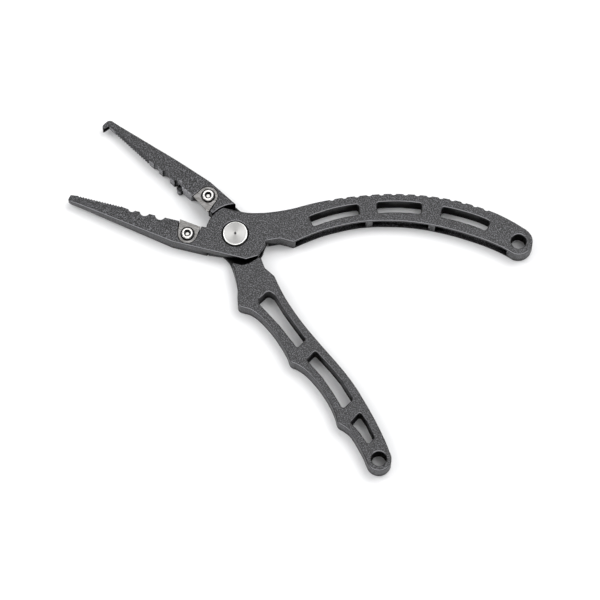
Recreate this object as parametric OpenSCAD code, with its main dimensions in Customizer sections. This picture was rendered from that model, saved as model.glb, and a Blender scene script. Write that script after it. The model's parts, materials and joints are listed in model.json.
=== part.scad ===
// Fishing pliers: two one-piece aluminium levers lapped at a pivot, with replaceable steel side cutters,
// a return spring that holds them open and a split-ring hook on one jaw.
// X runs from the jaw tips to the handles along the closed jaws, Z is the pivot axis,
// and z = 0 is the underside.

/* [Levers] */
// Thickness of hub and handles
lever_t = 9; // [8.6:0.1:10]
// Angle between the open jaws
open_angle = 27.2; // [20:0.1:27.5]
// Width of the hole for a lanyard at each handle end
lanyard_d = 5.8; // [4:0.1:6.4]

/* [Jaws] */
// Thickness of each jaw at its tip
tip_t = 4; // [3:0.1:5]
// Distance from the pivot at which the jaws start to thin
taper_start = 23.6; // [23:0.1:28]
// Number of gripping teeth on each jaw
tooth_count = 16; // [10:1:20]
// Depth of a gripping tooth
tooth_depth = 0.46; // [0.2:0.02:0.5]

/* [Pivot] */
// Diameter of the sleeve that both levers turn on
sleeve_d = 6; // [5:0.1:6.4]
// Diameter of the round bolt head
head_d = 9.5; // [9:0.1:9.8]
// Gap between the two lapped hub plates
lap_gap = 0.3; // [0.3:0.02:0.5]
// Wire diameter of the return spring
wire_d = 0.9; // [0.7:0.05:0.95]

/* [Cutters] */
// Length of a cutting edge
edge_l = 8.6; // [7:0.1:9]
// Thickness of a cutter
cutter_t = 3; // [2.5:0.1:3.4]
// Head diameter of a cutter screw
screw_head_d = 4.5; // [4:0.1:4.7]

/* [Handles] */
// Number of thumb grooves along the back of the upper handle
groove_count = 14; // [8:1:14]
// Depth of a thumb groove
groove_depth = 0.5; // [0.2:0.05:0.7]
// Depth of the pockets milled into the inner sides
pocket_depth = 2.3; // [0.8:0.1:2.4]
// Height of the lips above and below a pocket
lip_t = 1; // [0.8:0.1:2]

/* [Hidden] */
$fn = 64;
eps = 1;

// Lap joint: the thumb lever has the upper hub plate and the finger lever the lower one
lap_low = lever_t / 2 - lap_gap / 2;
lap_high = lever_t / 2 + lap_gap / 2;
plate_r = 11.5;
plate_half_w = 9;
jaw_cut_r = 11.85;
handle_cut_r = 12.85;

// Open stop: a tab at the edge of the lower hub plate meets the end wall of its room in the thumb lever
stop_angle = 224.1;
tab_angle = stop_angle + open_angle + 0.3;
tab_r = 12.55;
tab_room_r = 13.5;

// Pivot stack, from the underside up
fit = 0.04;
sleeve_r = sleeve_d / 2;
head_t = 1.6;
head_z = lever_t - 1.2;
head_seat_r = 5.2;
flange_r = 4.6;
flange_z = 0;
flange_t = 1;
nut_washer_t = 0.3;
nut_seat_r = 4.95;
nut_seat_z = flange_z + flange_t + nut_washer_t + 0.05;
bolt_thread_r = 2;
washer_r = 8.8;
washer_bore_r = 6.9;

// Return spring in a ring-shaped pocket that is half in each plate
coil_r = 5.35;
coil_turns = 3;
coil_pocket_in = 4.3;
coil_pocket_out = 6.4;
coil_pocket_low = 2.5;
coil_pocket_high = lever_t - 2.5;
leg_bore_r = wire_d / 2 + 0.1;
leg_depth = 0.75;
leg_angle = 200;

// Shoulder of each handle beside the other lever's hub plate
shoulder_a = [[-6, 1], [13.1, 1], [13.1, -1.2], [11.7, -5.7], [10.2, -7.8], [10.2, -14], [-6, -14]];
shoulder_b = [[-6, 1], [13.1, 1], [13.1, -1.2], [11.7, -5.7], [10.2, -7.8], [7, -9.4], [7, -14], [-6, -14]];

// Cutters: the edges meet on a line tilted against the jaws
cutter_mid = [-17.9, 0];
cutter_tilt = 7.8;
cutter_r = 3.7;
cutter_screw = [0.6, -4.45];
cutter_gap = 0.04;
cutter_play = 0.22;
bevel_angle = 55;
bevel_land = 0.3;
screw_r = 1.25;
screw_head_h = 2.5;
screw_proud = 1.2;
screw_l = 6;
screw_seat_z = lever_t + screw_proud - screw_head_h;
counterbore_r = 2.75;

// Crimping notches: place along the jaw, radius, depth
notches = [[-41.3, 1.5, 0.75], [-36.2, 2.05, 1.25], [-29.95, 2.05, 1.45]];

// Crimping nose in the lower half of the finger lever's jaw, at the edge of its last notch
nose = [-28.9, 0.6];
nose_r = 1.4;
nose_top = lever_t / 2 - 0.2;

// Handle ends
end_a = [107.1, 22.95];
end_a_r = 5.45;
end_b = [100.3, -31.45];
end_b_r = 4.8;
hole_chamfer = 0.35;

// ---- Plan outlines, with the jaws closed on the X axis ----

function xy(p) = [p.x, p.y];
function turn(p, a) = [p.x * cos(a) - p.y * sin(a), p.x * sin(a) + p.y * cos(a)];
function arc(c, r, from, to, n) =
    [for (i = [0:n]) let (a = from + (to - from) * i / n) c + r * [cos(a), sin(a)]];

// A smooth curve through the knots, with n steps between two of them
function curve(k, n = 4) = [
    for (i = [0:len(k) - 2])
        let (a = i == 0 ? 2 * k[0] - k[1] : k[i - 1], b = k[i], c = k[i + 1],
            d = i == len(k) - 2 ? 2 * k[i + 1] - k[i] : k[i + 2])
        for (s = [0:n - 1])
            let (t = s / n)
            b + 0.5 * ((c - a) * t + (2 * a - 5 * b + 4 * c - d) * t ^ 2 + (3 * b - a - 3 * c + d) * t ^ 3),
    k[len(k) - 1]
];

// The arc that rounds the corner b between a and c
function fillet(a, b, c, r, n) =
    let (u = (a - b) / norm(a - b), v = (c - b) / norm(c - b), half = acos(u * v) / 2,
        o = b + r / sin(half) * (u + v) / norm(u + v), p = b + r / tan(half) * u, q = b + r / tan(half) * v,
        from = atan2(p.y - o.y, p.x - o.x), to = atan2(q.y - o.y, q.x - o.x),
        sweep = (to - from + 540) % 360 - 180)
    arc(o, r, from, from + sweep, n);

// An outline whose points may carry a third number, the radius of that corner
function rounded(p, n = 5) = [
    for (i = [0:len(p) - 1])
        let (r = len(p[i]) > 2 ? p[i][2] : 0,
            a = xy(p[(i + len(p) - 1) % len(p)]), c = xy(p[(i + 1) % len(p)]))
        each r > 0 ? fillet(a, xy(p[i]), c, r, n) : [xy(p[i])]
];

// Points from p to q with a valley between every two tooth tips
function teeth(p, q, depth) = [
    for (i = [0:tooth_count])
        each i == tooth_count ? [q] : [p + (q - p) * i / tooth_count,
            p + (q - p) * (i + 0.5) / tooth_count + [0, depth]]
];

// A band that follows an edge from x0 to x1, reaching above and below it, with rounded ends
function edge_y(edge, x) = lookup(x, edge);
function normal(edge, x) =
    let (d = [2, edge_y(edge, x + 1) - edge_y(edge, x - 1)]) [-d.y, d.x] / norm(d);
function band(edge, x0, x1, above, below, r, n = 8) =
    let (x = [for (i = [0:n]) x0 + (x1 - x0) * i / n],
        top = [for (v = x) [v, edge_y(edge, v)] + above * normal(edge, v)],
        low = [for (i = [n:-1:0]) [x[i], edge_y(edge, x[i])] - below * normal(edge, x[i])])
    rounded([for (i = [0:n]) [top[i].x, top[i].y, i == 0 || i == n ? r : 0],
        for (i = [0:n]) [low[i].x, low[i].y, i == 0 || i == n ? r : 0]], 4);

// Upper handle: its back with the thumb grooves, its inner edge, and the line that its windows follow
back_a = curve([[-7.02, 9.1], [0, 9.1], [5, 9.75], [11.1, 11.6], [18.3, 14.65], [25.4, 18.55], [31.8, 21.7],
    [39.9, 25.1], [53.5, 29.6], [66.5, 32.2], [80, 33.25], [93.2, 32.35], [101.9, 30.5], [108.9, 28.2]]);
inner_a = curve([[22.7, 1.95], [28.2, 6.2], [35, 10.65], [45.7, 15.85], [56.8, 19.1], [68.2, 21],
    [80, 21.4], [92, 20.6], [100.4, 19.25], [105.8, 17.75]]);
windows_a = curve([[24, 9.4], [33.8, 15.9], [43.6, 20.55], [59.1, 25.5], [75, 27.4], [88.5, 27.1],
    [98, 25.2]]);
grip_a = [[-45.5, 0.5], [-63, 0.95]];
seat_a = -0.25;

outline_a = rounded([
    // jaw tip and outer side of the jaw
    [-65.95, 0.6, 0.3], [-66.5, -1.5, 0.4], [-65.2, -2.1, 0.3], [-62, -2.45], [-22.8, -plate_half_w, 5],
    // hub plate
    [6.6, -plate_half_w, 1], [10.6, -6.6, 0.8], [11.3, -4.2, 1], [12.35, -1.4, 0.8],
    // handle
    [12.4, 0.05], [17.2, 2.15, 1.2], [22.7, 1.95, 0.7], each [for (i = [1:len(inner_a) - 1]) inner_a[i]],
    each arc(end_a, end_a_r, -100, 68, 18),
    each [for (i = [len(back_a) - 1:-1:0]) back_a[i]],
    // hub beside the jaw, then the jaw's inner side
    each arc([0, 0], plate_r, 130, 181, 10),
    [-13.2, seat_a, 0.3], [-42.6, -0.05, 0.5], [-45, 0.3], each teeth(grip_a[0], grip_a[1], -tooth_depth),
]);

// Lower handle: finger grooves outside, and the hook at the tip of its jaw
finger_b = curve([[1.1, -8.7], [3.4, -8.75], [6.9, -9.9], [13.75, -14.6], [18.65, -20], [20.45, -20.85],
    [22.2, -20.2], [25, -19.05], [30, -18.85], [38, -20.15], [46, -22.75], [48.8, -24.3], [50.4, -24.6],
    [52.4, -23.95], [57, -23.55], [64, -24.55], [71, -26.65], [76, -29], [78.4, -30.65], [80, -31.05],
    [82, -30.7], [86, -30.8], [93.6, -33.5], [97.6, -35.45]]);
inner_b = curve([[22.5, -2.95], [28, -5.4], [34, -7.6], [43.6, -10.1], [55, -12.1], [64.3, -13.5],
    [73, -15.3], [80.6, -17.7], [88.9, -20.75], [97.1, -24.35], [101.3, -26.6]]);
grip_b = [[-45, 0.68], [-62.8, 1.1]];
seat_b = 0.45;

outline_b = rounded([
    // hub plate
    [12.35, -0.9], [12.35, 1.4, 0.8], [11.3, 4.2, 1], [10.6, 6.6, 0.8], [6.6, plate_half_w, 1],
    // outer side of the jaw and the hook
    [-8, plate_half_w], [-21, 9.35, 8], [-36, 7.7], [-63, 3.85], [-68.15, 3.35, 1.9], [-68.3, -0.4, 1],
    [-67, -1.8, 0.3], [-66.25, 1.1, 0.3],
    // jaw's inner side
    each [for (i = [2 * tooth_count:-1:0]) teeth(grip_b[0], grip_b[1], tooth_depth)[i]],
    [-22.3, seat_b], [-13.2, seat_b, 0.3],
    // lower hub plate and its tab
    each arc([0, 0], plate_r, 178, tab_angle, 14), [tab_r * cos(tab_angle), tab_r * sin(tab_angle), 0.2],
    // handle
    each finger_b, each arc(end_b, end_b_r, -120, 64, 18),
    each [for (i = [len(inner_b) - 1:-1:1]) inner_b[i]],
    [22.5, -2.95, 0.9], [17.7, -2.95, 2], [14.1, -1, 0.6],
]);

// Windows in the lower handle, corner by corner
windows_b = [
    [[24.2, -13.8, 1.3], [24.7, -8.9, 1.6], [27.6, -8.6, 1.2], [33.4, -10.5], [39.2, -12],
        [48.3, -14.2, 0.8], [48.2, -18.9, 0.9], [37.3, -16.6], [25.4, -15.2, 1.2]],
    [[53.9, -20.1, 0.8], [54, -15.1, 0.8], [62.6, -16.2], [69, -17.4], [77.6, -20.2, 0.9],
        [77.1, -25.7, 0.9], [70.2, -23.3], [62.9, -21.3]],
    [[82.8, -27.8, 0.8], [82.8, -22.3, 0.8], [86.8, -23.3], [91, -25.2], [93.7, -26.5, 0.8],
        [93.6, -30, 0.9], [87.5, -28.4]],
];

// ---- Shared features ----

// Two wedges that thin a jaw evenly from both faces
module jaw_taper() {
    taper = atan((lever_t - tip_t) / 2 / (65 - taper_start));
    for (side = [0, 1])
        translate([-taper_start, 0, side * lever_t])
            rotate([0, side == 1 ? -taper : taper, 0])
                translate([-60, -20, side == 1 ? 0 : -10]) cube([60, 40, 10]);
}

// A round hole along Z with a chamfer at both faces of the lever
module chamfered_hole(r) {
    translate([0, 0, -eps]) cylinder(r = r, h = lever_t + 2 * eps);
    for (side = [0, 1])
        translate([0, 0, side * lever_t]) mirror([0, 0, side])
            translate([0, 0, -eps]) cylinder(r1 = r + hole_chamfer + eps, r2 = r, h = hole_chamfer + eps);
}

// Half of the crimping holes that the closed jaws form
module crimp_notches(line_y, side) {
    for (n = notches)
        translate([n[0], line_y + side * (n[1] - n[2]), -eps]) cylinder(r = n[1], h = lever_t + 2 * eps);
}

// The crimping nose, or with play the room for it in the other jaw
module crimp_nose(play = 0) {
    r = nose_r + play;
    low = play > 0 ? -eps : 0;
    difference() {
        translate([nose.x, nose.y, low]) union() {
            cylinder(r = r, h = nose_top + play - low);
            translate([-r, 0, 0]) cube([2 * r, 2.4, nose_top + play - low]);
        }
        if (play == 0) jaw_taper();
    }
}

// Pockets milled into the inner side of a handle, which leave a lip at both faces
module side_pockets(edge, spans, side) {
    above = side > 0 ? pocket_depth : eps;
    below = side > 0 ? eps : pocket_depth;
    for (s = spans)
        translate([0, 0, lip_t]) linear_extrude(lever_t - 2 * lip_t)
            polygon(band(edge, s[0], s[1], above, below, 0.6));
}

// Seat for a cutter: its recess, its tapped hole and the relief under its edge
module cutter_seat() {
    reach = edge_l / 2 + cutter_play;
    translate([0, 0, lever_t - cutter_t]) linear_extrude(cutter_t + eps) {
        cutter_plan(cutter_play);
        translate([-reach, -0.5]) square([2 * reach, 3]);
    }
    translate([cutter_screw.x, cutter_screw.y, 1.2]) cylinder(r = screw_r + 0.02, h = lever_t);
    translate([0.4, 3.4, -eps]) cylinder(r = 5.9, h = lever_t - cutter_t + eps + 0.1);
}

// Plan of a cutter: a straight edge on X, and a back that is round about its screw
module cutter_plan(play = 0) {
    r = cutter_r + play;
    half = edge_l / 2 + play;
    polygon([[-half, 0], [half, 0],
        each arc(cutter_screw, r, touch([half, 0], r, -1), touch([-half, 0], r, 1) - 360, 24)]);
}
// The angle at which a straight side from p touches the round back
function touch(p, r, side) = let (d = p - cutter_screw) (atan2(d.y, d.x) + side * acos(r / norm(d)));

module ring(r_out, r_in, z0, z1) {
    translate([0, 0, z0]) difference() {
        cylinder(r = r_out, h = z1 - z0);
        translate([0, 0, -eps]) cylinder(r = r_in, h = z1 - z0 + 2 * eps);
    }
}

// The room that one hub plate needs in the other lever, whose shoulder is on the -Y side
module turning_room(shoulder) {
    intersection() {
        cylinder(r = jaw_cut_r, h = lever_t);
        translate([-20, -20, 0]) cube([20, 40, lever_t]);
    }
    intersection() {
        cylinder(r = handle_cut_r, h = lever_t);
        translate([-1, -1, 0]) cube([20, 20, lever_t]);
    }
    linear_extrude(lever_t) polygon(shoulder);
}

// Where a cutter and its screw lie: on the thumb lever, or turned over to the finger lever
module on_thumb_lever() {
    translate([cutter_mid.x, cutter_mid.y, 0]) rotate(-cutter_tilt)
        translate([0, -cutter_gap, 0]) children();
}
module on_finger_lever() {
    rotate(-open_angle)
        translate([cutter_mid.x, cutter_mid.y, 0]) rotate(180 - cutter_tilt) translate([0, -cutter_gap, 0])
            children();
}

// ---- Levers ----

module thumb_lever() {
    color("#58595c") {
        difference() {
            linear_extrude(lever_t) polygon(outline_a);
            jaw_taper();
            // lower half of the lap joint, and the room for the tab of the other lever
            translate([0, 0, lap_high - lever_t]) {
                mirror([0, 1, 0]) turning_room(shoulder_a);
                linear_extrude(lever_t)
                    polygon([[0, 0], tab_room_r * [cos(stop_angle), sin(stop_angle)], [0, -tab_room_r]]);
            }
            // pivot
            translate([0, 0, -eps]) cylinder(r = sleeve_r + fit / 2, h = lever_t + 2 * eps);
            translate([0, 0, head_z]) cylinder(r = head_seat_r, h = lever_t);
            translate([0, 0, lever_t - 0.25]) cylinder(r1 = head_seat_r, r2 = head_seat_r + 1, h = 1);
            ring(coil_pocket_out, coil_pocket_in, lap_low, coil_pocket_high);
            rotate(leg_angle)
                translate([coil_r, 0, lap_high]) cylinder(r = leg_bore_r, h = leg_top() - lap_high);
            // jaw
            crimp_notches(seat_a + 0.15, 1);
            crimp_nose(0.3);
            on_thumb_lever() cutter_seat();
            // handle
            for (i = [0:groove_count - 1])
                let (x = 33.1 + i * 4.53,
                    g = [x, edge_y(back_a, x)] + (1.3 - groove_depth) * normal(back_a, x))
                    translate([g.x, g.y, -eps]) cylinder(r = 1.3, h = lever_t + 2 * eps);
            for (s = [[27.3, 44.2], [50.8, 67.6], [75.4, 94.3]])
                translate([0, 0, -eps]) linear_extrude(lever_t + 2 * eps)
                    polygon(band(windows_a, s[0], s[1], 2.15, 2.15, 0.9));
            side_pockets(inner_a, [[23.4, 47.9], [50.4, 71.8], [74.3, 103.5]], 1);
            translate([end_a.x, end_a.y, 0]) chamfered_hole(lanyard_d / 2);
        }
    }
}

module finger_lever() {
    color("#58595c") rotate(-open_angle) {
        finger_lever_body();
        crimp_nose();
    }
}

module finger_lever_body() {
    difference() {
        linear_extrude(lever_t) polygon(outline_b);
        jaw_taper();
        // upper half of the lap joint
        translate([0, 0, lap_low]) turning_room(shoulder_b);
        // pivot
        translate([0, 0, -eps]) cylinder(r = sleeve_r + fit, h = lever_t + 2 * eps);
        translate([0, 0, -eps]) cylinder(r = nut_seat_r, h = nut_seat_z + eps);
        ring(coil_pocket_out, coil_pocket_in, coil_pocket_low, lap_high);
        rotate(leg_angle + open_angle)
            translate([coil_r, 0, leg_bottom()]) cylinder(r = leg_bore_r, h = lap_low - leg_bottom());
        // jaw
        crimp_notches(seat_b + 0.1, -1);
        rotate(open_angle) on_finger_lever() cutter_seat();
        // handle
        for (w = windows_b)
            translate([0, 0, -eps]) linear_extrude(lever_t + 2 * eps) polygon(rounded(w, 4));
        side_pockets(inner_b, [[23.8, 47.5], [50.4, 72.5], [75.4, 97]], -1);
        translate([end_b.x, end_b.y, 0]) chamfered_hole(lanyard_d / 2);
    }
}

// ---- Cutters and their screws ----

module cutter() {
    translate([0, 0, lever_t - cutter_t]) difference() {
        linear_extrude(cutter_t) cutter_plan();
        translate([0, 0, cutter_t - bevel_land]) rotate([bevel_angle, 0, 0]) translate([-10, -10, -10])
            cube([20, 20, 10]);
        translate([cutter_screw.x, cutter_screw.y, -eps]) cylinder(r = 1.4, h = cutter_t + 2 * eps);
        translate([cutter_screw.x, cutter_screw.y, screw_seat_z - lever_t + cutter_t])
            cylinder(r = counterbore_r, h = cutter_t);
    }
}

// Socket head cap screw, with a chamfered head and a hexagon socket
module cutter_screw_part() {
    head_r = screw_head_d / 2;
    translate([cutter_screw.x, cutter_screw.y, screw_seat_z]) difference() {
        union() {
            cylinder(r = head_r, h = screw_head_h - 0.3);
            translate([0, 0, screw_head_h - 0.3]) cylinder(r1 = head_r, r2 = head_r - 0.3, h = 0.3);
            translate([0, 0, -screw_l]) cylinder(r = screw_r, h = screw_l + 0.1);
        }
        translate([0, 0, screw_head_h - 1.3]) cylinder(r = 1 / cos(30), h = 2, $fn = 6);
        translate([0, 0, screw_head_h - 0.2]) cylinder(r1 = 1.1, r2 = 1.4, h = 0.3);
    }
}

module thumb_side_cutter() { color("#8d8a85") on_thumb_lever() cutter(); }
module finger_side_cutter() { color("#8d8a85") on_finger_lever() cutter(); }
module thumb_side_screw() { color("silver") on_thumb_lever() cutter_screw_part(); }
module finger_side_screw() { color("silver") on_finger_lever() cutter_screw_part(); }

// ---- Pivot ----

// Round head with a centre dimple, and a threaded shank that ends inside the sleeve of the nut
module pivot_bolt() {
    head_r = head_d / 2;
    rim = 0.35;
    color("gainsboro") difference() {
        translate([0, 0, head_z]) union() {
            cylinder(r = head_r, h = head_t - rim);
            translate([0, 0, head_t - rim]) cylinder(r1 = head_r, r2 = head_r - rim, h = rim);
            translate([0, 0, 2.4 - head_z]) cylinder(r = bolt_thread_r - 0.02, h = head_z - 2.3);
        }
        translate([0, 0, head_z + head_t - 0.3]) cylinder(r1 = 0.05, r2 = 0.45, h = 0.4);
    }
}

// Flanged sleeve nut, flush with the underside and turned by two pin holes
module pivot_nut() {
    color("silver") difference() {
        union() {
            translate([0, 0, flange_z]) cylinder(r1 = flange_r - 0.25, r2 = flange_r, h = 0.25);
            translate([0, 0, flange_z + 0.25]) cylinder(r = flange_r, h = flange_t - 0.25);
            translate([0, 0, flange_z + 0.3]) cylinder(r = sleeve_r, h = head_z - 0.1 - flange_z - 0.3);
        }
        translate([0, 0, 2]) cylinder(r = bolt_thread_r, h = lever_t);
        for (side = [-1, 1]) translate([side * 3.3, 0, -eps]) cylinder(r = 0.6, h = eps + 0.8);
    }
}

module hub_washer() {
    color("whitesmoke") ring(washer_r, washer_bore_r, lap_low, lap_high - 0.02);
}

module nut_washer() {
    color("goldenrod") ring(nut_seat_r - 0.15, sleeve_r + 0.1, flange_z + flange_t, nut_seat_z - 0.05);
}

// ---- Return spring ----

function leg_top() = coil_pocket_high + leg_depth;
function leg_bottom() = coil_pocket_low - leg_depth;

// The wire's centre line, unrolled: distance round the coil, then height
bend_r = 0.5;
coil_len = coil_turns * 2 * PI * coil_r - 2 * bend_r;
coil_low = coil_pocket_low + wire_d / 2 + 0.1;
coil_high = coil_pocket_high - wire_d / 2 - 0.1;
coil_steps = 24 * coil_turns;
wire_line = [
    [0, leg_bottom() + 0.1],
    for (b = [0:30:90]) [bend_r * (1 - cos(b)), coil_low - bend_r + bend_r * sin(b)],
    for (i = [1:coil_steps - 1]) [bend_r + coil_len * i / coil_steps,
        coil_low + (coil_high - coil_low) * i / coil_steps],
    for (b = [0:30:90]) [bend_r + coil_len + bend_r * sin(b), coil_high + bend_r * (1 - cos(b))],
    [2 * bend_r + coil_len, leg_top() - 0.1],
];

module return_spring() {
    sides = 8;
    last = len(wire_line) - 1;
    points = [
        for (i = [0:last])
            let (p = wire_line[i], d = wire_line[min(i + 1, last)] - wire_line[max(i - 1, 0)],
                t = d / norm(d), a = -leg_angle + p.x / coil_r * 180 / PI, out = [cos(a), sin(a), 0],
                along = [-sin(a) * t.x, cos(a) * t.x, t.y], up = cross(out, along))
                for (s = [0:sides - 1])
                    [coil_r * cos(a), coil_r * sin(a), p.y]
                        + wire_d / 2 * (out * cos(360 * s / sides) + up * sin(360 * s / sides))
    ];
    faces = [
        [for (s = [sides - 1:-1:0]) s],
        [for (s = [0:sides - 1]) last * sides + s],
        for (i = [0:last - 1], s = [0:sides - 1])
            let (a = i * sides, b = a + sides, n = (s + 1) % sides) [a + s, a + n, b + n, b + s]
    ];
    color("lightsteelblue") mirror([0, 1, 0]) polyhedron(points, faces, convexity = 6);
}

thumb_lever();
finger_lever();
thumb_side_cutter();
finger_side_cutter();
thumb_side_screw();
finger_side_screw();
pivot_bolt();
pivot_nut();
hub_washer();
nut_washer();
return_spring();
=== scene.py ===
import json
import math

import bpy
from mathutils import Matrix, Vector


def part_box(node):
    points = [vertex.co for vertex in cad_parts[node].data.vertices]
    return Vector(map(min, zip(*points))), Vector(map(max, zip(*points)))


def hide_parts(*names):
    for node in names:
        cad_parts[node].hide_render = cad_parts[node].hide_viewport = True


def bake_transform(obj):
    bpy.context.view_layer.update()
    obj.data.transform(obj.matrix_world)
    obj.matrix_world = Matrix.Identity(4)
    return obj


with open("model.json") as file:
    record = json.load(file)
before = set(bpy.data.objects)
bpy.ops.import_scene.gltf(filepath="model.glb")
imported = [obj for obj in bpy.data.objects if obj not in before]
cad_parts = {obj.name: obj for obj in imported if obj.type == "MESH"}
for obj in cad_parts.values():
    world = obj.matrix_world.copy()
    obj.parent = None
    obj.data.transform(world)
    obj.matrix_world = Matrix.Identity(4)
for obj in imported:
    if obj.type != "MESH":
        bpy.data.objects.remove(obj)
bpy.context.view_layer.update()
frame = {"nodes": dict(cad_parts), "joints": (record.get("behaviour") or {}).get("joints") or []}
nodes = frame["nodes"]


# ---- Places on the object, in metres ----

def upright_axis(name):
    """Where a round node's upright axis is, in plan."""
    low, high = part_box(name)
    return (low.x + high.x) / 2.0, (low.y + high.y) / 2.0


lever_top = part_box("thumb_lever")[1].z
bolt_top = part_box("pivot_bolt")[1].z
screw_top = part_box("thumb_side_screw")[1].z
socket_depth = 0.0013
screw_axes = [upright_axis(name) for name in ("thumb_side_screw", "finger_side_screw")]
pivot = frame["joints"][0]
pivot_axis = tuple(pivot["pos_m"][:2])

# The angle between the open jaws, and the way out of the mouth across each lever's jaw
opening = math.radians(pivot["range_deg"][1])
outward = {
    "thumb_lever": Vector((0.0, -1.0, 0.0)),
    "finger_lever": Vector((math.sin(opening), math.cos(opening), 0.0)),
}

# The finger lever's teeth have a lower X than the first of these and a higher Y than the second
grip_start = -0.02
mouth_middle = 0.005

# A test of height that goes this far past a face takes the face in
skin = 0.0001


# ---- Node trees and materials ----

def grey(value):
    """A grey with a trace of blue."""
    return (value, value, value * 1.03)


class Tree:
    """A node tree, with short helpers for its nodes and links."""

    def __init__(self, tree):
        self.tree = tree

    def feed(self, value, socket):
        """Links an output to a socket, or sets the socket to a number, a vector or a colour."""
        if isinstance(value, bpy.types.NodeSocket):
            self.tree.links.new(value, socket)
        elif socket.type == "RGBA":
            socket.default_value = (*value, 1.0)
        else:
            socket.default_value = value

    def set(self, node, **values):
        """Feeds a node's sockets, which are named with underscores for spaces."""
        for key, value in values.items():
            self.feed(value, node.inputs[key.replace("_", " ")])

    def add(self, kind, **values):
        node = self.tree.nodes.new(kind)
        self.set(node, **values)
        return node

    def maths(self, operation, a, b=0.0):
        node = self.add("ShaderNodeMath")
        node.operation = operation
        self.feed(a, node.inputs[0])
        self.feed(b, node.inputs[1])
        return node.outputs[0]

    def vector(self, operation, a, b=(0.0, 0.0, 0.0), output="Vector"):
        node = self.add("ShaderNodeVectorMath")
        node.operation = operation
        self.feed(a, node.inputs[0])
        self.feed(b, node.inputs[1])
        return node.outputs[output]

    def split(self, vector):
        """A vector's X, Y and Z."""
        return self.add("ShaderNodeSeparateXYZ", Vector=vector).outputs

    def distance(self, place, axis):
        """How far a split place is from an upright axis."""
        in_plan = self.add("ShaderNodeCombineXYZ", X=place["X"], Y=place["Y"]).outputs["Vector"]
        return self.vector("DISTANCE", in_plan, (*axis, 0.0), "Value")

    def ramp(self, value, stops):
        """A colour that changes with a value, through stops of value and colour."""
        node = self.add("ShaderNodeValToRGB", Fac=value)
        elements = node.color_ramp.elements
        while len(elements) < len(stops):
            elements.new(0.5)
        for element, (position, color) in zip(elements, stops):
            element.position = position
            element.color = (*color, 1.0)
        return node.outputs["Color"]


class Shader(Tree):
    """A node material, with helpers for its patterns and its masks."""

    def __init__(self, name, **values):
        self.material = bpy.data.materials.new(name)
        self.material.use_nodes = True
        super().__init__(self.material.node_tree)
        self.bsdf = self.tree.nodes["Principled BSDF"]
        self.set(self.bsdf, **values)

    def object_coords(self):
        return self.add("ShaderNodeTexCoord").outputs["Object"]

    def noise(self, coords, scale, detail=2.0, roughness=0.5):
        node = self.add("ShaderNodeTexNoise", Vector=coords, Scale=scale)
        self.set(node, Detail=detail, Roughness=roughness)
        return node.outputs["Fac"]

    def scaled(self, value, low, high):
        """A value from 0 to 1, moved to the range from low to high."""
        return self.add("ShaderNodeMapRange", Value=value, To_Min=low, To_Max=high).outputs["Result"]

    def mix(self, factor, a, b, blend="MIX"):
        """Two colours mixed. The node's sockets share their names, so they go by number."""
        node = self.add("ShaderNodeMix")
        node.data_type = "RGBA"
        node.blend_type = blend
        for value, index in ((factor, 0), (a, 6), (b, 7)):
            self.feed(value, node.inputs[index])
        return node.outputs[2]

    def crevice_shade(self, reach, darkest, closed=0.2, open_at=0.8):
        """Painted shade: 1 in the open, and down to the darkest value in narrow gaps."""
        light = self.add("ShaderNodeAmbientOcclusion", Distance=reach).outputs["AO"]
        return self.ramp(light, [(closed, grey(darkest)), (open_at, grey(1.0))])

    def sloped(self, low, high):
        """1 on faces whose normal's height is between two values, else 0."""
        normal = self.add("ShaderNodeNewGeometry").outputs["True Normal"]
        height = self.maths("ABSOLUTE", self.split(normal)["Z"])
        above = self.maths("GREATER_THAN", height, low)
        return self.maths("MULTIPLY", above, self.maths("LESS_THAN", height, high))

    def facing(self, direction):
        """How far a face looks in a level direction: 1 straight on, 0 sideways, -1 away."""
        normal = self.add("ShaderNodeNewGeometry").outputs["True Normal"]
        level = self.vector("NORMALIZE", self.vector("MULTIPLY", normal, (1.0, 1.0, 0.0)))
        return self.vector("DOT_PRODUCT", level, direction, "Value")

    def down_hole(self, axis, radius, top):
        """1 within a radius of an upright axis and below a height, else 0."""
        place = self.split(self.object_coords())
        near = self.maths("LESS_THAN", self.distance(place, axis), radius)
        return self.maths("MULTIPLY", near, self.maths("LESS_THAN", place["Z"], top))

    def lit_grip_side(self):
        """1 on the inner side of the finger lever's jaw, in front of its cutter, where light is painted on.
        """
        place = self.split(self.object_coords())
        inward = self.scaled(self.facing(-outward["finger_lever"]), -1.2, 1.3)
        in_front = self.maths("LESS_THAN", place["X"], grip_start)
        above_mouth = self.maths("GREATER_THAN", place["Y"], mouth_middle)
        return self.maths("MULTIPLY", inward, self.maths("MULTIPLY", in_front, above_mouth))

    def bump(self, height, strength, depth):
        node = self.add("ShaderNodeBump", Height=height, Strength=strength, Distance=depth)
        self.set(self.bsdf, Normal=node.outputs["Normal"])


# How fine the patterns are, as noise scales
grain_scale = 2650.0
spot_scale = 1500.0
cloud_scale = 1100.0
stain_scale = 700.0

# A rounded edge is two narrow faces. These are the limits of their normals' height.
upper_bevel = (0.6, 0.97)
lower_bevel = (0.2, 0.6)
whole_bevel = (0.2, 0.97)

# The side of the tool on whose upper edges a highlight is painted; the edges on the other side get painted
# shade
highlight_side = (0.2375, -0.9714, 0.0)


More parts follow.
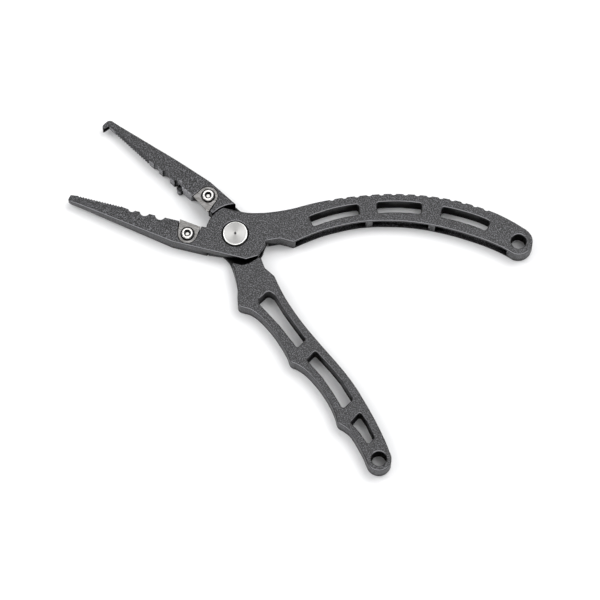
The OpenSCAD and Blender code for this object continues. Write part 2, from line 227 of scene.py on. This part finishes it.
def anodised():
    """Dark grey hard coat over a blasted surface, with fine light and dark grains, painted highlights and
    painted shade on its edges, painted light on its teeth and painted shade in its gaps.
    """
    s = Shader("anodised", Metallic=0.0)
    where = s.object_coords()
    grains = s.noise(where, grain_scale, detail=1.0)
    clouds = s.noise(where, cloud_scale)
    base = s.ramp(grains, [(0.36, grey(0.0)), (0.46, grey(0.004)), (0.54, grey(0.03)), (0.64, grey(0.115))])
    base = s.mix(1.0, base, s.ramp(clouds, [(0.35, grey(0.75)), (0.65, grey(1.0))]), "MULTIPLY")

    # Upper edges get a painted highlight on one side and painted shade on the other, and every edge has a
    # painted shade line below
    edge_strength, rim_strength = 0.6, 0.75
    front = s.scaled(s.facing(highlight_side), -0.8, 1.4)
    edge_highlight = s.maths("MULTIPLY", s.sloped(*upper_bevel), front)
    rim = s.sloped(*lower_bevel)
    highlighted = s.mix(edge_highlight, base, grey(0.2))
    shaded = s.mix(front, grey(0.0), highlighted)
    base = s.mix(s.maths("MULTIPLY", s.sloped(*whole_bevel), edge_strength), highlighted, shaded)
    base = s.mix(s.maths("MULTIPLY", rim, rim_strength), base, grey(0.0))

    # The inner jaw wall and its teeth are painted lighter, as if lit
    lit_grip = s.lit_grip_side()
    base = s.mix(lit_grip, base, s.ramp(grains, [(0.4, grey(0.12)), (0.6, grey(0.3))]))

    # Painted shade in gaps, none on the highlighted edges and on the painted-lit teeth only where the gaps
    # are narrow; it also dims the reflection there and on the painted dark line below each edge
    wide_gap_shade = s.crevice_shade(reach=0.006, darkest=0.03, closed=0.5, open_at=0.84)
    narrow_gap_shade = s.crevice_shade(reach=0.0015, darkest=0.1, closed=0.1, open_at=0.6)
    gap_shade = s.mix(edge_highlight, s.mix(lit_grip, wide_gap_shade, narrow_gap_shade), grey(1.0))
    s.set(
        s.bsdf,
        Base_Color=s.mix(1.0, base, gap_shade, "MULTIPLY"),
        Specular_IOR_Level=s.maths("MULTIPLY", gap_shade, s.scaled(rim, 0.36, 0.08)),
        Roughness=s.scaled(clouds, 0.42, 0.6))
    s.bump(grains, strength=0.5, depth=0.00008)
    return s.material


def ground_steel():
    """Warm grey steel with stains, fine grinding lines, painted shade in its screw seats and painted shade
    in its gaps.
    """
    s = Shader("ground_steel", Metallic=0.6, Roughness=0.42)
    where = s.object_coords()
    stretched = s.add("ShaderNodeMapping", Vector=where, Scale=(300.0, 4200.0, 900.0))
    s.set(stretched, Rotation=(0.0, 0.0, math.radians(7.8)))
    lines = s.noise(stretched.outputs["Vector"], 1.0, detail=3.0, roughness=0.6)
    stain = s.noise(where, stain_scale)
    base = s.ramp(lines, [(0.35, (0.05, 0.048, 0.046)), (0.65, (0.24, 0.234, 0.226))])
    tint = s.ramp(stain, [(0.35, (0.8, 0.79, 0.76)), (0.65, (1.0, 1.0, 1.0))])
    base = s.mix(1.0, base, tint, "MULTIPLY")
    # The screw seats are painted near black, as their shade
    seat_shade_radius, land = 0.0029, 0.0003
    for axis in screw_axes:
        base = s.mix(s.down_hole(axis, seat_shade_radius, lever_top - land), base, (0.01, 0.01, 0.01))
    # Painted shade in the narrow gaps
    s.set(s.bsdf, Base_Color=s.mix(1.0, base, s.crevice_shade(reach=0.0012, darkest=0.05), "MULTIPLY"))
    s.bump(lines, strength=0.2, depth=0.00002)
    return s.material


def socket_steel():
    """Bright socket screws, their sockets painted dark as shade, each with a painted highlight on its
    floor.
    """
    s = Shader("socket_screw", Metallic=1.0, Roughness=0.3)
    base = s.mix(s.noise(s.object_coords(), spot_scale), (0.3, 0.294, 0.287), (0.43, 0.42, 0.41))
    socket_shade_radius, floor_highlight_radius = 0.0014, 0.00065
    socket_floor = screw_top - socket_depth
    # Each socket is painted dark as its shade, and its floor gets a painted highlight
    for axis in screw_axes:
        base = s.mix(s.down_hole(axis, socket_shade_radius, screw_top + skin), base, (0.02, 0.02, 0.02))
        base = s.mix(s.down_hole(axis, floor_highlight_radius, socket_floor + skin), base, (0.3, 0.295, 0.285))
    s.set(s.bsdf, Base_Color=base)
    return s.material


def turned_steel(name, color, roughness, ring_pitch):
    """Steel turned on a lathe: fine rings about the pivot's axis, a painted highlight on its rounded edge
    and painted shade in its centre dimple.
    """
    dimple_shade_radius = 0.0005
    s = Shader(name, Metallic=1.0, Roughness=roughness, Anisotropic=0.62, Anisotropic_Rotation=0.25)
    wave = s.add("ShaderNodeTexWave", Vector=s.object_coords(), Scale=1.0 / ring_pitch)
    s.set(wave, Distortion=1.5, Detail=3.0, Detail_Scale=2.0)
    wave.wave_type = "RINGS"
    wave.rings_direction = "Z"
    face = s.mix(wave.outputs["Fac"], tuple(0.86 * c for c in color), color)
    # A painted highlight on the rounded edge
    face = s.mix(s.sloped(*whole_bevel), face, (0.9, 0.9, 0.88))
    # Painted shade in the centre dimple
    face = s.mix(s.down_hole(pivot_axis, dimple_shade_radius, bolt_top + skin), face, (0.05, 0.05, 0.05))
    tangent = s.add("ShaderNodeTangent")
    tangent.direction_type = "RADIAL"
    tangent.axis = "Z"
    s.set(s.bsdf, Base_Color=face, Tangent=tangent.outputs["Tangent"])
    return s.material


def plain_finish(name, color, metallic, roughness):
    """One colour with fine darker spots, for the small pieces that hardly show."""
    s = Shader(name, Metallic=metallic, Roughness=roughness)
    spots = s.noise(s.object_coords(), spot_scale)
    s.set(s.bsdf, Base_Color=s.mix(spots, tuple(0.85 * c for c in color), color))
    return s.material


lever_look = anodised()
cutter_look = ground_steel()
screw_look = socket_steel()
spring_look = plain_finish("spring_wire", (0.5, 0.5, 0.5), 1.0, 0.3)
looks = {
    "thumb_lever": lever_look,
    "finger_lever": lever_look,
    "thumb_side_cutter": cutter_look,
    "finger_side_cutter": cutter_look,
    "thumb_side_screw": screw_look,
    "finger_side_screw": screw_look,
    "pivot_bolt": turned_steel("bolt_face", (0.25, 0.248, 0.243), 0.4, ring_pitch=0.00035),
    "pivot_nut": plain_finish("nut_steel", (0.5, 0.49, 0.475), 1.0, 0.3),
    "hub_washer": plain_finish("washer_plastic", (0.75, 0.75, 0.72), 0.0, 0.4),
    "nut_washer": plain_finish("bronze", (0.55, 0.36, 0.16), 1.0, 0.4),
    "return_spring": spring_look,
}
for name, look in looks.items():
    materials = nodes[name].data.materials
    materials.clear()
    materials.append(look)


# ---- Softened edges on the CAD nodes ----

lever_rounding = 0.00035
small_rounding = 0.00008
sharp_angle = math.radians(50.0)

# Points this close are one point, and faces this nearly in line are one face
same_point = 0.000001
same_plane = math.radians(0.2)

# An edge is level if it rises by less than this part of its length
level_slope = 0.2
# An edge this close to the upper or lower side is one of its own, and so is any edge of the tapered jaws
face_depth = 0.0006
jaw_start = -0.0245
# The teeth and notches are within this distance of the line where the jaws meet
teeth_depth = 0.0018
# Edges this close to the bolt's and the screws' axes stay sharp
spared = [(pivot_axis, 0.0064)] + [(axis, 0.0042) for axis in screw_axes]


def outer_edges(name, jaw_side):
    """A node group that marks the sharp level edges of a lever's outer faces, but not its teeth's."""
    group = bpy.data.node_groups.new(name, "GeometryNodeTree")
    for direction in ("INPUT", "OUTPUT"):
        group.interface.new_socket("Geometry", in_out=direction, socket_type="NodeSocketGeometry")
    t = Tree(group)

    ends = t.add("GeometryNodeInputMeshEdgeVertices").outputs
    angle = t.add("GeometryNodeInputMeshEdgeAngle").outputs["Unsigned Angle"]
    run = t.vector("SUBTRACT", ends["Position 1"], ends["Position 2"])
    centre = t.vector("MULTIPLY", t.vector("ADD", ends["Position 1"], ends["Position 2"]), (0.5, 0.5, 0.5))
    place = t.split(centre)

    rise = t.maths("ABSOLUTE", t.split(run)["Z"])
    longest_rise = t.maths("MULTIPLY", t.vector("LENGTH", run, output="Value"), level_slope)
    level = t.maths("LESS_THAN", rise, longest_rise)
    sharp = t.maths("GREATER_THAN", angle, sharp_angle)

    upper = t.maths("GREATER_THAN", place["Z"], lever_top - face_depth)
    lower = t.maths("LESS_THAN", place["Z"], face_depth)
    jaw = t.maths("LESS_THAN", place["X"], jaw_start)
    outside = t.maths("GREATER_THAN", t.maths("ADD", t.maths("ADD", upper, lower), jaw), 0.5)

    near_mouth = t.maths("LESS_THAN", t.vector("DOT_PRODUCT", centre, jaw_side, "Value"), teeth_depth)
    no_tooth = t.maths("SUBTRACT", 1.0, t.maths("MULTIPLY", jaw, near_mouth))

    chosen = t.maths("MULTIPLY", t.maths("MULTIPLY", level, sharp), t.maths("MULTIPLY", outside, no_tooth))
    for axis, reach in spared:
        clear = t.maths("GREATER_THAN", t.distance(place, axis), reach)
        chosen = t.maths("MULTIPLY", chosen, clear)

    start = t.add("NodeGroupInput").outputs["Geometry"]
    store = t.add("GeometryNodeStoreNamedAttribute")
    store.data_type = "FLOAT"
    store.domain = "EDGE"
    t.set(store, Geometry=start, Name="bevel_weight_edge", Value=chosen)
    t.set(t.add("NodeGroupOutput"), Geometry=store.outputs["Geometry"])
    return group


def soften(name, width, marker=None):
    """Joins a node's faces into one skin, then rounds its sharp edges or those that the marker picks."""
    modifiers = nodes[name].modifiers
    weld = modifiers.new("weld", "WELD")
    weld.merge_threshold = same_point
    flat = modifiers.new("flat", "DECIMATE")
    flat.decimate_type = "DISSOLVE"
    flat.angle_limit = same_plane
    if marker:
        modifiers.new("mark", "NODES").node_group = marker
    bevel = modifiers.new("bevel", "BEVEL")
    bevel.width = width
    bevel.segments = 2
    bevel.limit_method = "WEIGHT" if marker else "ANGLE"
    bevel.angle_limit = sharp_angle
    bevel.use_clamp_overlap = marker is None
    smooth = modifiers.new("smooth", "WEIGHTED_NORMAL")
    smooth.keep_sharp = False
    smooth.weight = 90


for name, jaw_side in outward.items():
    soften(name, lever_rounding, outer_edges(name + "_edges", jaw_side))
for name in ("thumb_side_cutter", "finger_side_cutter", "pivot_bolt"):
    soften(name, small_rounding)


# ---- The return spring, which winds up as the levers close; here it is built in one still shape ----

def tube(name, line, radius, sides):
    """A closed round tube along a line of points that winds about the Z axis."""
    last = len(line) - 1
    angles = [2.0 * math.pi * k / sides for k in range(sides)]
    verts = []
    for i, point in enumerate(line):
        along = (line[min(i + 1, last)] - line[max(i - 1, 0)]).normalized()
        out = Vector((point.x, point.y, 0.0)).normalized()
        out = (out - along * out.dot(along)).normalized()
        side = along.cross(out)
        verts += [point + radius * (out * math.cos(a) + side * math.sin(a)) for a in angles]
    faces = []
    for here in range(0, last * sides, sides):
        there = here + sides
        for k in range(sides):
            following = (k + 1) % sides
            faces.append((here + k, here + following, there + following, there + k))
    faces.append(tuple(reversed(range(sides))))
    faces.append(tuple(last * sides + k for k in range(sides)))
    data = bpy.data.meshes.new(name)
    data.from_pydata(verts, [], faces)
    data.shade_smooth()
    piece = bpy.data.objects.new(name, data)
    bpy.context.scene.collection.objects.link(piece)
    return piece


def spring_piece():
    """Three turns of wire between two upright legs."""
    coil_radius = 0.00535
    wire_radius = 0.00045
    bend_radius = 0.0005
    turns = 3
    steps = 40 * turns
    leg_angle = math.radians(200.0)
    coil_low, coil_high = 0.00305, 0.00595
    leg_bottom, leg_top = (corner.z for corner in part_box("return_spring"))

    run = turns * 2.0 * math.pi * coil_radius - 2.0 * bend_radius
    rise = coil_high - coil_low
    # The wire's centre line, unrolled: distance round the coil, then height. Each bend is a quarter circle.
    quarter = [math.radians(15.0 * i) for i in range(7)]
    bend = [(bend_radius * (1.0 - math.cos(a)), bend_radius * math.sin(a)) for a in quarter]
    line = [(0.0, leg_bottom)]
    line += [(inner, coil_low - bend_radius + outer) for inner, outer in bend]
    line += [(bend_radius + run * i / steps, coil_low + rise * i / steps) for i in range(1, steps)]
    line += [(bend_radius + run + outer, coil_high + inner) for inner, outer in bend]
    line += [(run + 2.0 * bend_radius, leg_top)]

    points = []
    for distance, height in line:
        a = leg_angle - distance / coil_radius
        points.append(Vector((coil_radius * math.cos(a), coil_radius * math.sin(a), height)))
    piece = tube("spring_coil", points, wire_radius, sides=12)
    piece.data.materials.append(spring_look)
    return piece


coil = spring_piece()
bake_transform(coil)
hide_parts("return_spring")


# ---- Floor ----

# The floor lies just below the tool, so that no two faces share a plane
floor_size = 6.0
floor_place = (0.03, -0.02, -0.00005)
bpy.ops.mesh.primitive_plane_add(size=floor_size, location=floor_place)
floor = bpy.context.object
floor.name = "floor"
floor_look = Shader("floor", Base_Color=(0.83, 0.832, 0.84), Roughness=0.9, Specular_IOR_Level=0.0)
floor.data.materials.append(floor_look.material)


# ---- Light and camera ----

# The point that the lights look at. The camera looks just below it, from this direction and distance.
centre = Vector((0.0306, -0.0198, 0.009))
azimuth, elevation = math.radians(13.74), math.radians(74.5)
camera_distance = 1.925
camera_drop = 0.0002

right = Vector((math.cos(azimuth), math.sin(azimuth), 0.0))
back = Vector((math.sin(azimuth), -math.cos(azimuth), 0.0))
up = Vector((0.0, 0.0, 1.0))


def place_in_scene(name, data, location, looking):
    """Adds a light or a camera that looks in a direction."""
    thing = bpy.data.objects.new(name, data)
    thing.location = location
    thing.rotation_euler = looking.to_track_quat("-Z", "Y").to_euler()
    bpy.context.scene.collection.objects.link(thing)
    return thing


def area_light(name, across, nearer, height, size, power):
    """A soft light, placed to the right of the centre, nearer to the viewer and above it."""
    data = bpy.data.lights.new(name, "AREA")
    data.shape = "RECTANGLE"
    data.size, data.size_y = size
    data.energy = power
    offset = back * nearer + right * across + up * height
    place_in_scene(name, data, centre + offset, -offset)


area_light("key", 0.34, -0.3, 1.05, size=(0.75, 0.65), power=9.5)
area_light("side", -0.65, -0.2, 0.9, size=(0.45, 0.7), power=4.0)
area_light("wing", -1.1, 0.5, 0.28, size=(0.3, 1.0), power=3.0)
area_light("fill", 0.0, 1.0, 0.3, size=(1.4, 0.3), power=3.0)

# The sky gets brighter from the horizon up: height, then brightness
sky_stops = ((0.15, 0.1), (0.75, 0.7), (0.93, 1.0))
world = bpy.data.worlds.new("studio")
bpy.context.scene.world = world
world.use_nodes = True
sky = Tree(world.node_tree)
sky_height = sky.split(sky.add("ShaderNodeTexCoord").outputs["Generated"])["Z"]
glow = sky.ramp(sky_height, [(height, (value, value, value)) for height, value in sky_stops])
sky.set(world.node_tree.nodes["Background"], Color=glow, Strength=0.95)

view_back = back * math.cos(elevation) + up * math.sin(elevation)
view_up = up * math.cos(elevation) - back * math.sin(elevation)
camera_data = bpy.data.cameras.new("camera")
camera_data.lens = 300.0
camera_data.sensor_width = 36.0
camera_data.clip_end = 10.0
eye = centre - view_up * camera_drop + view_back * camera_distance
bpy.context.scene.camera = place_in_scene("camera", camera_data, eye, -view_back)

bpy.context.scene.view_settings.view_transform = "Standard"
bpy.context.scene.view_settings.look = "None"
